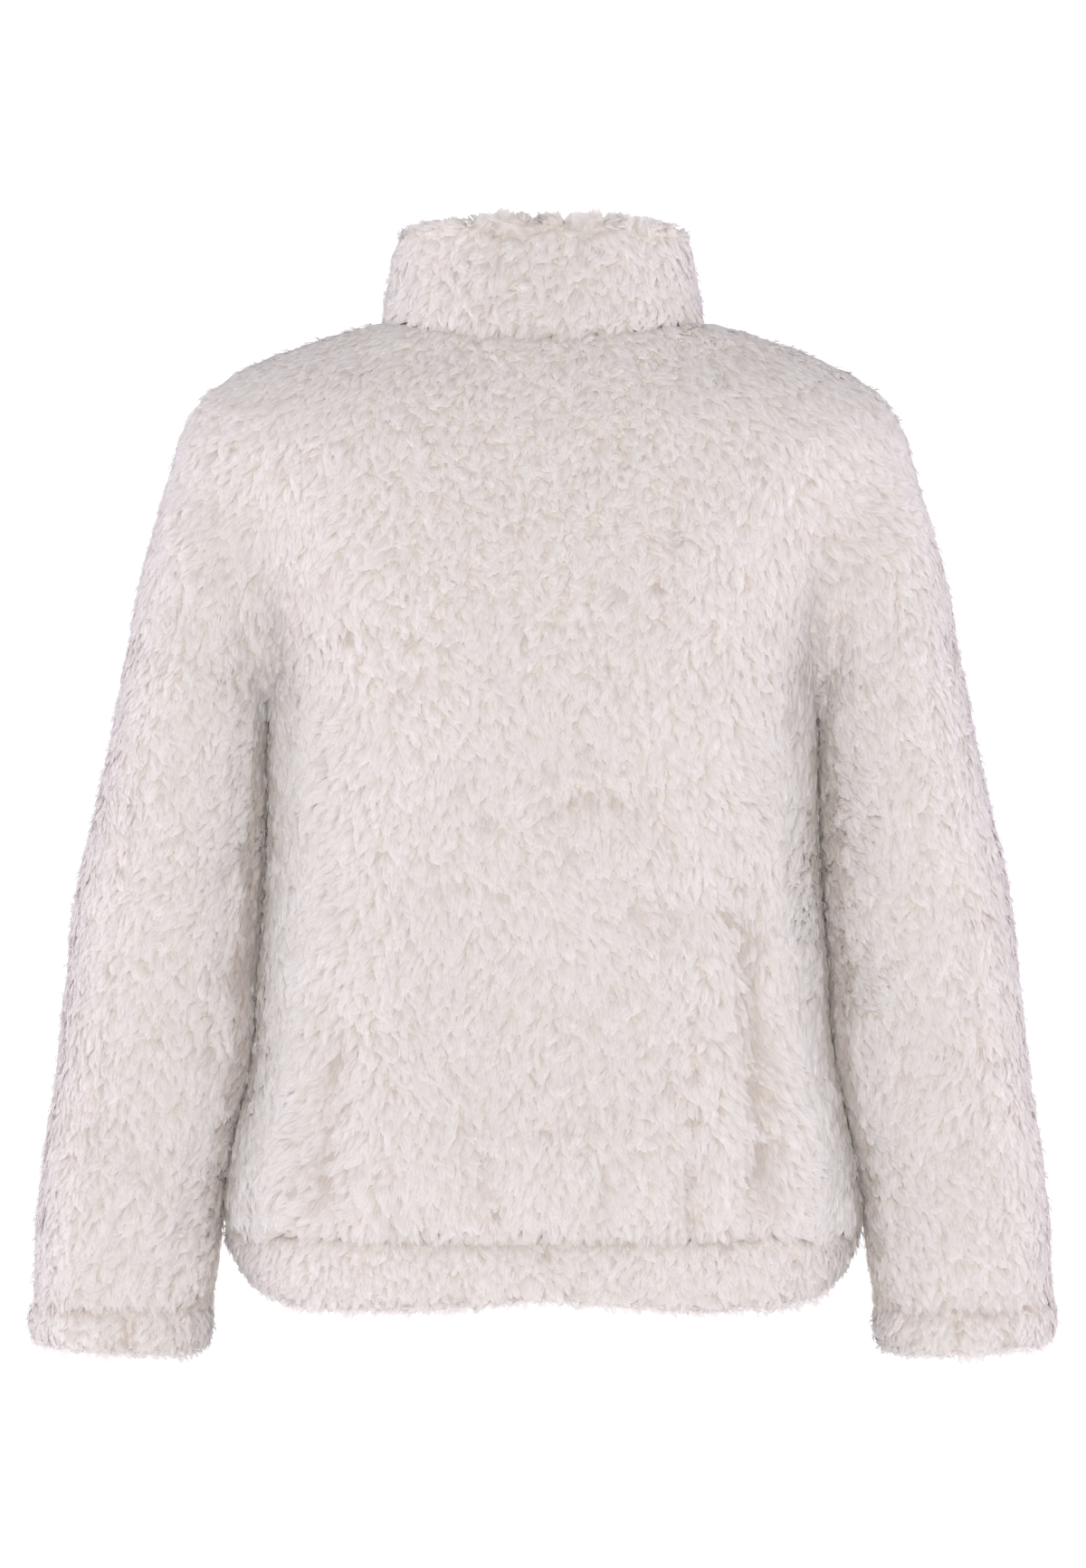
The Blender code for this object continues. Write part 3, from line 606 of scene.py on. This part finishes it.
def grow(name, tufts, kind, seams, folds, seed):
    """The locks or wisps of a pile, each in the tuft that it stands nearest to."""
    random = np.random.default_rng(seed)
    root, normal = sow(tufts, kind, random)
    count = len(root)
    own = np.array([tufts.tree.find(place)[1] for place in root.tolist()])
    held, straight, sewn = seam_share(root, tufts.node, seams)
    normal = unit(normal * np.stack([np.ones(count), np.ones(count), 1 - straight], axis=1))
    # painted shade along the line of a sewn-on strip
    shade = tufts.shade[own] - SEAM_SHADE * sewn
    if folds:
        pressed = fold_share(root, folds, 1 if tufts.node == "front" else -1)
        held = held * pressed
        # painted shade in the folds
        shade = shade - FOLD_SHADE * (1 - pressed)
    lie = laid(tufts.way[own] + STRAY * random.normal(0.0, 1.0, (count, 3)), normal)
    side = np.cross(normal, lie)
    path = bend_locks(tufts, kind, own, root, normal, lie, side, held[:, None], random)
    across, lit = face_locks(tufts, kind, own, normal, side, path, random)
    half_width = kind.width * random.uniform(*WIDTHS, (count, 1)) / 2
    mirrored = random.choice([-1.0, 1.0], count)
    mesh = make_ribbons(name, kind, path, across, half_width, lit, shade, mirrored)
    return finish_piece(name, mesh)


SHADES = 16                  # rows on the map of the locks' shades, from dark to light
HALF_LOCK = 0.40             # half the width of a lock there, as a share of its row's height
MAP_EDGE = 0.02              # margin at both ends of a row


def make_ribbons(name, kind, path, across, half_width, lit, shade, mirrored):
    """A mesh of ribbons, one along each path: two corners at every step, and one at the tip.

    Its map runs along a lock from left to right, in the row of that lock's shade.
    """
    count, rows = len(shade), len(kind.steps)
    spots = [(row, share) for row in range(rows - 1) for share in (-1, 1)] + [(rows - 1, 0)]
    corners, normals = np.empty((2, count, len(spots), 3))
    map_u, map_v = np.empty((2, count, len(spots)))
    middle = (np.clip(np.floor(shade * SHADES), 0, SHADES - 1) + 0.5) / SHADES
    for i, (row, share) in enumerate(spots):
        corners[:, i] = path[row] + across[row] * half_width * share * kind.widths[row]
        normals[:, i] = unit(lit[row] + kind.round * share * across[row])
        map_u[:, i] = MAP_EDGE + (1 - 2 * MAP_EDGE) * kind.steps[row]
        map_v[:, i] = middle + HALF_LOCK / SHADES * share * mirrored
    quads = [(2 * row, 2 * row + 1, 2 * row + 3, 2 * row + 2) for row in range(rows - 2)]
    faces = [*quads, (len(spots) - 3, len(spots) - 2, len(spots) - 1)]
    order = np.concatenate(faces)
    starts = np.cumsum([0, *(len(face) for face in faces)])[:-1]
    ribbon = np.arange(count)[:, None]
    loops = (ribbon * len(spots) + order).reshape(-1)
    starts = (ribbon * len(order) + starts).reshape(-1)

    mesh = bpy.data.meshes.new(name)
    mesh.vertices.add(count * len(spots))
    mesh.vertices.foreach_set("co", corners.reshape(-1).astype(np.float32))
    mesh.loops.add(len(loops))
    mesh.loops.foreach_set("vertex_index", loops.astype(np.int32))
    mesh.polygons.add(len(starts))
    mesh.polygons.foreach_set("loop_start", starts.astype(np.int32))
    mesh.update(calc_edges=True)
    uv = mesh.uv_layers.new(name="OFBake")
    places = np.stack([map_u.reshape(-1)[loops], map_v.reshape(-1)[loops]], axis=1)
    uv.uv.foreach_set("vector", places.reshape(-1).astype(np.float32))
    mesh.shade_smooth()
    mesh.normals_split_custom_set_from_vertices(normals.reshape(-1, 3))
    mesh.materials.append(PILE)
    return mesh


def dress(node, seed, spacing, length, height, comb, folds=(),
          folded=False):
    """A piece's knit sheet, and the locks and wisps of its pile."""
    seams = seams_of(node)
    outside = cloth_of(node, seams) if folded else outside_of(node, seams)
    cloth = make_cloth(node, outside, folded, comb)
    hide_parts(node)
    tufts = plant_tufts(node, outside, seed, spacing, length, height, comb)
    pile = grow(node + "_pile", tufts, LOCK, seams, folds, seed + 5)
    wisps = grow(node + "_wisps", tufts, WISP, seams, folds, seed + 6)


# The places on a panel where its comb changes, and what each does to it. Each pair is where a soft
# step starts and ends: in height, in width from the middle, as a share of the way to the side seam,
# or in how far the cloth has turned there to its side or upward
SIDE_SEAM = 0.20             # from the middle of a panel, as it is worn
PLAIN = SimpleNamespace(outward=0.12, wild=0.26)
LOW = SimpleNamespace(height=(-0.34, -0.54), to_side=(0.50, 0.95), outward=0.85, longer=0.30,
                      taller=0.4)
YOKE = SimpleNamespace(height=(-0.26, -0.10), to_side=(0.2, 1.2), outward=0.55)
CENTRE = SimpleNamespace(height=(-0.26, -0.16), width=(0.13, 0.06), wild=0.32, shorter=0.14)
BY_ARM = SimpleNamespace(height=(-0.23, -0.28), turn=(0.20, 0.70), swept=0.9, longer=0.25,
                         taller=0.5, open_side=1.5)
EDGE = SimpleNamespace(height=(-0.18, -0.24), turn=(0.30, 0.55), past=(0.80, 0.60), outward=0.7,
                       less_swept=0.5, taller=0.3)
SHOULDER = SimpleNamespace(turn=(0.0, 0.8), depth=(0.0, 0.035), open_side=0.55)


def comb_panel(place, out):
    """The pile of a panel: down, outward at the shoulders and the lower sides, and long and
    swept round towards the back or the front where a side faces the sleeve."""
    x, y, z = place.T
    near_side = np.abs(x) / SIDE_SEAM
    turn = np.abs(out[:, 0])
    low = soft_step(z, *LOW.height) * soft_step(near_side, *LOW.to_side)
    yoke = soft_step(z, *YOKE.height) * soft_step(near_side, *YOKE.to_side)
    centre = soft_step(z, *CENTRE.height) * soft_step(np.abs(x), *CENTRE.width)
    by_arm = soft_step(z, *BY_ARM.height) * soft_step(turn, *BY_ARM.turn)
    edge = soft_step(z, *EDGE.height) * soft_step(turn, *EDGE.turn) * soft_step(turn, *EDGE.past)
    shoulder = soft_step(out[:, 2], *SHOULDER.turn) * soft_step(np.abs(y), *SHOULDER.depth)
    outward = (PLAIN.outward * near_side + LOW.outward * low + YOKE.outward * yoke
               + EDGE.outward * edge)
    swept = BY_ARM.swept * by_arm * (1 - EDGE.less_swept * edge)
    return Comb(
        way=np.stack([outward * np.sign(x), swept * np.sign(y), -np.ones_like(x)], axis=1),
        wild=PLAIN.wild + CENTRE.wild * centre,
        longer=1 - CENTRE.shorter * centre + LOW.longer * low + BY_ARM.longer * by_arm,
        taller=1 + BY_ARM.taller * by_arm + LOW.taller * low + EDGE.taller * edge,
        open_side=BY_ARM.open_side * by_arm + SHOULDER.open_side * shoulder)


# The folds that rise from the hem band and cross the small of the back, as fold_share takes them
BACK_FOLDS = (
    (0.1380, -0.5940, 0.1180, -0.3150, 0.004, 0.0105, 0.60),
    (-0.1380, -0.5940, -0.1330, -0.4100, 0.003, 0.0095, 0.45),
    (0.0920, -0.5940, 0.0960, -0.5250, 0.000, 0.0080, 0.40),
    (0.0320, -0.5940, 0.0360, -0.5300, 0.000, 0.0080, 0.35),
    (-0.0320, -0.5940, -0.0420, -0.5200, 0.002, 0.0080, 0.35),
    (-0.0110, -0.3180, 0.0820, -0.3150, -0.003, 0.0085, 0.35),
    (0.0420, -0.3840, 0.1400, -0.3860, -0.004, 0.0085, 0.30),
)

dress("back", seed=1, spacing=0.0056, length=0.0125, height=0.0030, comb=comb_panel,
      folds=BACK_FOLDS)


# The front: one panel of the same sherpa, cut as the back is but with a lower neck, and closed. It
# is sewn to the back at the shoulders and sides, and its pile is combed the same way.

# The folds that rise from the hem band, and one that crosses the waist
FRONT_FOLDS = (
    (0.1300, -0.5940, 0.1350, -0.4400, -0.003, 0.0095, 0.45),
    (-0.1350, -0.5940, -0.1220, -0.3700, -0.004, 0.0100, 0.55),
    (0.0300, -0.5940, 0.0250, -0.5150, 0.002, 0.0080, 0.35),
    (-0.0850, -0.5940, -0.0940, -0.5200, 0.000, 0.0080, 0.35),
    (-0.1050, -0.3150, -0.0100, -0.3350, 0.003, 0.0085, 0.35),
)

dress("front", seed=31, spacing=0.0056, length=0.0125, height=0.0030, comb=comb_panel,
      folds=FRONT_FOLDS)


# The sleeves: a tube of sherpa each, closed by one seam under the arm and sewn into the armhole
# of the drop shoulder. The pile is combed down the arm, and round towards the back and the front
# where the sleeve hangs against the body.

SLEEVE = SimpleNamespace(outward=0.12, wild=0.30)
BY_BODY = SimpleNamespace(turn=(0.2, 0.7), swept=0.7, taller=0.25, open_side=2.0)


def comb_sleeve(place, out):
    """The pile of a sleeve: down it, and taller and swept round where it faces the body."""
    outward = np.sign(place[:, 0])
    even = np.ones(len(place))
    by_body = soft_step(-out[:, 0] * outward, *BY_BODY.turn)
    swept = BY_BODY.swept * by_body * np.sign(place[:, 1])
    return Comb(way=np.stack([SLEEVE.outward * outward, swept, -even], axis=1),
                wild=SLEEVE.wild * even, longer=even, taller=1 + BY_BODY.taller * by_body,
                open_side=BY_BODY.open_side * by_body)


for number, node in enumerate(("sleeve_left", "sleeve_right")):
    dress(node, seed=61 + 20 * number, spacing=0.0056, length=0.0122, height=0.0030,
          comb=comb_sleeve)


# The collar: one strip of sherpa that stands up, folded double at its top edge and sewn into the
# neck with both of its long edges. Its pile is short and unsettled, hangs at its foot, and stands
# up and out round its top edge.

# How far outward the pile lies for each metre from the middle, the heights between which it turns
# from hanging to standing, how unsettled it is, and the cosine past which the cloth faces the
# middle and how far its pile hangs there. Then its corners, top edge and sides, as on a panel.
COLLAR = SimpleNamespace(flare=3.5, turns_up=(0.036, 0.066), wild=0.44, faces_in=-0.3, hangs_in=0.6)
CORNER = SimpleNamespace(width=(0.070, 0.090), height=(0.048, 0.062), shorter=0.35, lower=0.6)
TOP_EDGE = SimpleNamespace(turn=(0.3, 0.8), longer=0.1, taller=0.5, open_side=0.6)
COLLAR_SIDE = SimpleNamespace(depth=(0.0, 0.06), open_side=0.5)


def comb_collar(place, out):
    """The pile of the collar: down at its foot, and up and outward from there to its top edge."""
    x, y, z = place.T
    inner = dot(out, unit(np.stack([x, y, 0 * z], axis=1)))[:, 0] < COLLAR.faces_in
    rising = np.where(inner, -COLLAR.hangs_in, 2 * soft_step(z, *COLLAR.turns_up) - 1)
    corner = soft_step(np.abs(x), *CORNER.width) * soft_step(z, *CORNER.height)
    on_top = soft_step(out[:, 2], *TOP_EDGE.turn)
    faces_out = np.where(inner, -1, 1) * soft_step(np.abs(y), *COLLAR_SIDE.depth)
    open_side = COLLAR_SIDE.open_side * (1 - np.abs(out[:, 1])) + TOP_EDGE.open_side * on_top
    return Comb(way=np.stack([COLLAR.flare * x, COLLAR.flare * y, rising], axis=1),
                wild=np.full(len(place), COLLAR.wild),
                longer=(1 + TOP_EDGE.longer * on_top) * (1 - CORNER.shorter * corner),
                taller=(1 + TOP_EDGE.taller * on_top) * (1 - CORNER.lower * corner),
                open_side=open_side * faces_out)


dress("collar", seed=101, spacing=0.0056, length=0.0115, height=0.0033, comb=comb_collar,
      folded=True)


# The hem band: a strip of sherpa folded double at the bottom, and sewn on to the foot of the back
# and front with both of its long edges. Its pile is a little shorter than theirs and hangs down.

STRIP = SimpleNamespace(outward=0.15, wild=0.26)
HEM_FOLDS = ((0.0, -0.5900, 0.0, -0.6080, 0.0, 0.0035, 0.5),)     # one short crease


def comb_strip(place, out):
    """The pile of a strip at a hem: down, and a little outward."""
    even = np.ones(len(place))
    way = np.stack([STRIP.outward * out[:, 0], STRIP.outward * out[:, 1], -even], axis=1)
    return Comb(way=way, wild=STRIP.wild * even, longer=even, taller=even, open_side=0 * even)


dress("hem_band", seed=121, spacing=0.0054, length=0.0105, height=0.0032, comb=comb_strip,
      folds=HEM_FOLDS, folded=True)


# The cuffs: a strip of sherpa each, folded double at the wrist and sewn on to the end of the
# sleeve. Each is closed by a seam that shows as a short line in the pile at the back.

CUFF_SEAM = 0.267            # how far out the closing seam is from the middle of the garment

for number, (node, side) in enumerate((("cuff_left", -1), ("cuff_right", 1))):
    seam = side * CUFF_SEAM
    dress(node, seed=141 + 20 * number, spacing=0.0052, length=0.0095, height=0.0032,
          comb=comb_strip,
          folds=((seam, -0.6400, seam, -0.7000, 0.0, 0.0035, 0.8),),
          folded=True)


# The floor: a round of pale matt board that lies well below the garment. Towards its edge it glows
# as white as the backdrop behind it, so that no edge shows.

FLOOR_REACH, FLOOR_HEIGHT, FLOOR_SIDES = 3.2, -1.42, 64
FLOOR_PALE = (0.9, 0.9, 0.9, 1.0)
GLOW_STARTS, GLOW_FULL = 1.2, 2.7
BACKDROP_WHITE = 1.2         # brightness of the backdrop, and of the floor's edge

angle = np.linspace(0, 2 * np.pi, FLOOR_SIDES, endpoint=False)
floor_rim = np.stack([FLOOR_REACH * np.cos(angle), FLOOR_REACH * np.sin(angle), 0 * angle], axis=1)
floor_mesh = bpy.data.meshes.new("floor")
floor_mesh.from_pydata(floor_rim.tolist(), [], [tuple(range(FLOOR_SIDES))])
floor = bpy.data.objects.new("floor", floor_mesh)
floor.location.z = FLOOR_HEIGHT
bpy.context.scene.collection.objects.link(floor)

floor_material, floor_sockets, wire = new_material("floor", roughness=0.8, sheen=0.0)
floor_sockets["Base Color"].default_value = FLOOR_PALE
place = wire.node("ShaderNodeTexCoord", output="Object")
from_middle = wire.node("ShaderNodeVectorMath", {"operation": "LENGTH"}, {0: place},
                        output="Value")
towards_edge = wire.node("ShaderNodeMapRange", {"interpolation_type": "SMOOTHSTEP"},
                         {"Value": from_middle, "From Min": GLOW_STARTS, "From Max": GLOW_FULL})
glow = wire.node("ShaderNodeEmission", {}, {"Color": (*WHITE, 1.0), "Strength": BACKDROP_WHITE})
cover(floor_material, wire.node("ShaderNodeMixShader", {}, {0: towards_edge, 1: wire, 2: glow}))
floor_mesh.materials.append(floor_material)


# The studio: a white backdrop that gives a little light from all round, and round lamps that face
# the garment. Three light its back, three its front, and one on each side glances along the pile.

ROOM_LIGHT = 0.285           # brightness of the light from all round
DAYLIGHT, COOL, LILAC = (1.0, 0.995, 0.99), (0.985, 0.985, 1.0), (0.92, 0.88, 1.0)
GARMENT_MIDDLE = Vector((0.0, 0.0, -0.3))

world = bpy.data.worlds.new("studio")
bpy.context.scene.world = world
world.use_nodes = True
backdrop = world.node_tree.nodes["Background"]
backdrop.inputs["Color"].default_value = (*WHITE, 1.0)
backdrop.inputs["Strength"].default_value = BACKDROP_WHITE
wire = Wire(world.node_tree, backdrop.outputs[0])
room = wire.node("ShaderNodeBackground", {}, {"Color": (*WHITE, 1.0), "Strength": ROOM_LIGHT})
camera_ray = wire.node("ShaderNodeLightPath", output="Is Camera Ray")
studio = wire.node("ShaderNodeMixShader", {}, {0: camera_ray, 1: room, 2: wire})
studio.to(world.node_tree.nodes["World Output"].inputs["Surface"])


def make_lamp(name, place, size, power, colour):
    """A round lamp that faces the middle of the garment."""
    light = bpy.data.lights.new(name, "AREA")
    light.shape = "DISK"
    light.size = size
    light.energy = power
    light.color = colour
    lamp = bpy.data.objects.new(name, light)
    bpy.context.scene.collection.objects.link(lamp)
    lamp.location = place
    away = lamp.location - GARMENT_MIDDLE
    lamp.rotation_euler = away.to_track_quat("Z", "Y").to_euler()


make_lamp("key", (-0.8, -3.9, 1.1), 2.0, 44.0, DAYLIGHT)
make_lamp("fill", (0.8, -3.9, -0.5), 2.0, 18.0, DAYLIGHT)
make_lamp("middle", (0.0, -4.3, -0.3), 1.2, 95.0, DAYLIGHT)
make_lamp("front_key", (1.2, 3.6, 0.9), 2.4, 30.0, COOL)
make_lamp("front_fill", (-1.4, 3.6, -0.3), 2.4, 24.0, COOL)
make_lamp("front_middle", (0.0, 4.3, -0.3), 1.2, 80.0, DAYLIGHT)
make_lamp("rim_left", (-2.8, 0.2, 0.2), 1.6, 51.0, LILAC)
make_lamp("rim_right", (2.8, 0.2, 0.2), 1.6, 51.0, LILAC)


# The camera: level with the middle of the garment, square to its back, and three metres away. The
# lens is long enough for the garment to fill most of the view.

CAMERA_AWAY, CAMERA_HEIGHT = 3.0, -0.3063
SENSOR = 36.0                # millimetres
VIEW_HEIGHT = 1.0398         # what the view takes in at the garment's middle, from foot to top

bpy.context.scene.view_settings.view_transform = "Standard"
camera_data = bpy.data.cameras.new("camera")
camera_data.sensor_fit = "VERTICAL"
camera_data.sensor_height = SENSOR
camera_data.lens = SENSOR * CAMERA_AWAY / VIEW_HEIGHT
camera = bpy.data.objects.new("camera", camera_data)
camera.location = (0.0, -CAMERA_AWAY, CAMERA_HEIGHT)
camera.rotation_euler = (np.pi / 2, 0.0, 0.0)
bpy.context.scene.collection.objects.link(camera)
bpy.context.scene.camera = camera
